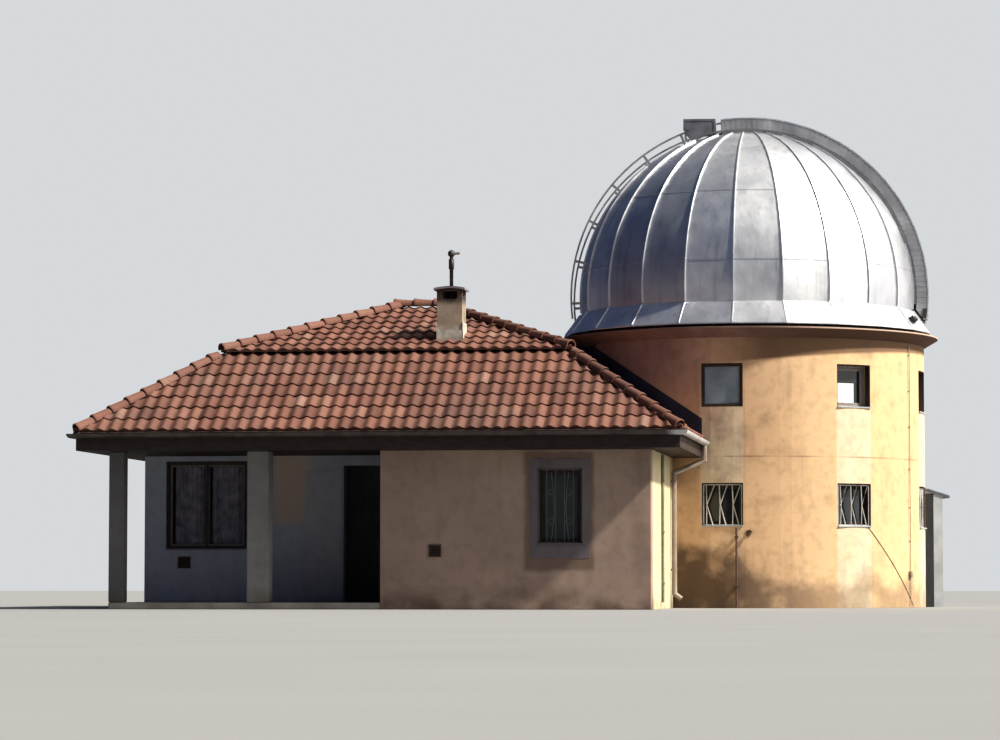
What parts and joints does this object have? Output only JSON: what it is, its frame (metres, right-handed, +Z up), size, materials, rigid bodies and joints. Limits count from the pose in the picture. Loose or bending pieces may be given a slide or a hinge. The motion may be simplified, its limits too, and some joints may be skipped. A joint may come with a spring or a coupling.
{
  "type": "observatory dome building",
  "caption": "Small observatory: a round tower under a turning sheet metal dome with an up-and-over shutter, joined to a one-storey house with a hipped tile roof and porch.",
  "frame": {"origin": "on the ground under the dome, on the tower's axis, at the underside of the tower's floor slab", "axes": "+X to the right along the house's front wall, +Y from the front wall to the rear, +Z up"},
  "size_m": [13.446, 10.4836, 8.3393],
  "materials": {
    "tower_render": "matt, weathered ochre lime render",
    "house_render": "matt, weathered beige brown render",
    "concrete": "rough",
    "roof_tile": "matt, weathered",
    "dark_timber": "weathered stain",
    "window_wood": "satin, frame with dark glass",
    "door_wood": "satin",
    "galvanised": "dull zinc",
    "dome_sheet": "dull sheet with standing seams",
    "dark_steel": "dull, weathered",
    "glass": "clear",
    "bitumen": "matt",
    "pale_sheet": "satin"
  },
  "bodies": {
    "building": {"tower_slab": "concrete", "tower_upper_floor": "concrete", "tower_wall_front": "tower_render", "tower_wall_front_right": "tower_render", "tower_wall_right": "tower_render", "tower_wall_door_head": "tower_render", "tower_wall_rear_right": "tower_render", "tower_wall_rear": "tower_render", "tower_wall_rear_left": "tower_render", "tower_wall_house": "tower_render", "tower_glass_lower": "glass", "tower_glass_upper": "glass", "ring_beam": "tower_render", "dome_track": "dark_steel", "side_porch_panel_near": "pale_sheet", "side_porch_panel_far": "pale_sheet", "side_porch_roof": "galvanised", "front_wall": "house_render", "block_side_wall": "house_render", "porch_wall": "house_render", "door_head_wall": "house_render", "left_wall": "house_render", "rear_wall": "house_render", "right_wall": "house_render", "house_floor": "concrete", "porch_floor": "concrete", "porch_column_corner": "house_render", "porch_column_front": "house_render", "window_front": "window_wood", "window_porch": "window_wood", "window_left": "window_wood", "window_rear": "window_wood", "roof_lower": "roof_tile", "roof_upper": "roof_tile", "ceiling": "dark_timber", "fascia": "dark_timber", "roof_flashing": "bitumen", "gutters": "galvanised", "downpipe": "galvanised", "chimney_stack": "house_render", "chimney_cap": "concrete", "flue_cowl": "dark_steel", "entrance_door_hinges": "dark_steel", "side_door_hinges": "dark_steel"},
    "dome": {"dome_base_ring": "dark_steel", "dome_skirt": "dome_sheet", "dome_shell_near": "dome_sheet", "dome_shell_far": "dome_sheet", "dome_crown_near": "dome_sheet", "dome_crown_far": "dome_sheet", "shutter_rail_near": "galvanised", "shutter_rail_far": "galvanised"},
    "shutter": {"shutter": "dome_sheet", "shutter_tail": "dark_steel"},
    "entrance_door": {"entrance_door": "door_wood"},
    "side_door": {"side_door": "door_wood"}
  },
  "joints": [
    {"name": "dome_rotation", "type": "hinge", "parent": "building", "child": "dome", "pos_m": [0, 0, 4.68], "axis": [0, 0, 1], "continuous": true},
    {"name": "shutter_travel", "type": "hinge", "parent": "dome", "child": "shutter", "pos_m": [0, 0, 5.28], "axis": [0.0651, -0.9979, 0], "range_deg": [0, 65]},
    {"name": "entrance_door_hinge", "type": "hinge", "parent": "building", "child": "entrance_door", "pos_m": [-6.15, -4.4, 1.2], "axis": [0, 0, 1], "range_deg": [0, 90]},
    {"name": "side_door_hinge", "type": "hinge", "parent": "building", "child": "side_door", "pos_m": [2.3877, 1.0291, 1], "axis": [0, 0, -1], "range_deg": [0, 90]}
  ]
}
